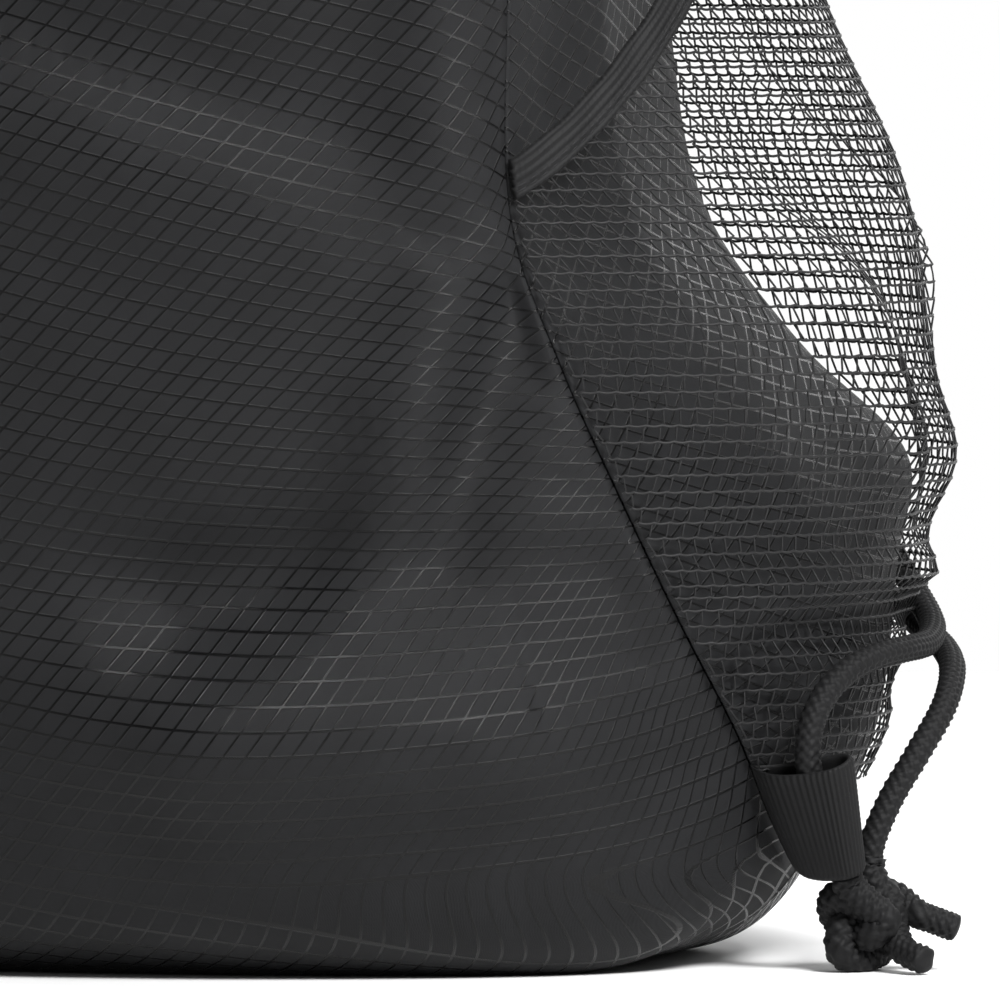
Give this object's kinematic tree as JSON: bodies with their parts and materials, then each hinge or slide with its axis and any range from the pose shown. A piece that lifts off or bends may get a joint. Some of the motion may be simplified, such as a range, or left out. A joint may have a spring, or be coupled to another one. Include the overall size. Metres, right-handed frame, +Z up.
{
  "type": "drawstring gym sack",
  "caption": "Drawstring gym sack standing on its base, with ripstop panels, mesh side pockets and braided cord straps knotted at webbing corner tabs.",
  "frame": {"origin": "middle of the flat base, on the surface that the sack stands on", "axes": "+Z up to the mouth, -Y out of the front panel, +X to the right pocket"},
  "size_m": [0.4146, 0.2008, 0.4063],
  "materials": {
    "ripstop": "satin",
    "pocket_mesh": "matte",
    "elastic": "matte",
    "binding_tape": "matte",
    "webbing": "matte",
    "drawcord": "matte"
  },
  "bodies": {
    "sack": {"front_panel": "ripstop", "back_panel": "ripstop", "base_seam_binding": "binding_tape", "front_drawcord_channel": "ripstop", "back_drawcord_channel": "ripstop", "right_side_panel": "ripstop", "right_mesh_pocket": "pocket_mesh", "right_pocket_elastic": "elastic", "right_front_seam_binding": "binding_tape", "right_back_seam_binding": "binding_tape", "right_drawcord_mouth_loop": "drawcord", "right_strap_strand_to_tab": "drawcord", "right_strap_strand_to_knot": "drawcord", "left_side_panel": "ripstop", "left_mesh_pocket": "pocket_mesh", "left_pocket_elastic": "elastic", "left_front_seam_binding": "binding_tape", "left_back_seam_binding": "binding_tape", "left_drawcord_mouth_loop": "drawcord", "left_strap_strand_to_tab": "drawcord", "left_strap_strand_to_knot": "drawcord"},
    "right_tab": {"right_webbing_tab": "webbing"},
    "right_knot": {"right_cord_knot": "drawcord", "right_upper_cord_tail": "drawcord", "right_lower_cord_tail": "drawcord"},
    "left_tab": {"left_webbing_tab": "webbing"},
    "left_knot": {"left_cord_knot": "drawcord", "left_upper_cord_tail": "drawcord", "left_lower_cord_tail": "drawcord"}
  },
  "joints": [
    {"name": "right_tab_swing", "type": "hinge", "parent": "sack", "child": "right_tab", "pos_m": [0.1728, -0.0246, 0.0306], "axis": [-0.2419, -0.3319, 0.9118], "range_deg": [-50, 9], "deforming": ["right_strap_strand_to_tab", "right_strap_strand_to_knot"]},
    {"name": "right_knot_swing", "type": "hinge", "parent": "right_tab", "child": "right_knot", "pos_m": [0.186, -0.0155, 0.0206], "axis": [0, 1, 0], "range_deg": [-25, 15]},
    {"name": "left_tab_swing", "type": "hinge", "parent": "sack", "child": "left_tab", "pos_m": [-0.1728, -0.0246, 0.0306], "axis": [-0.2419, 0.3319, -0.9118], "range_deg": [-50, 9], "deforming": ["left_strap_strand_to_tab", "left_strap_strand_to_knot"]},
    {"name": "left_knot_swing", "type": "hinge", "parent": "left_tab", "child": "left_knot", "pos_m": [-0.186, -0.0155, 0.0206], "axis": [0, -1, 0], "range_deg": [-25, 15]}
  ]
}
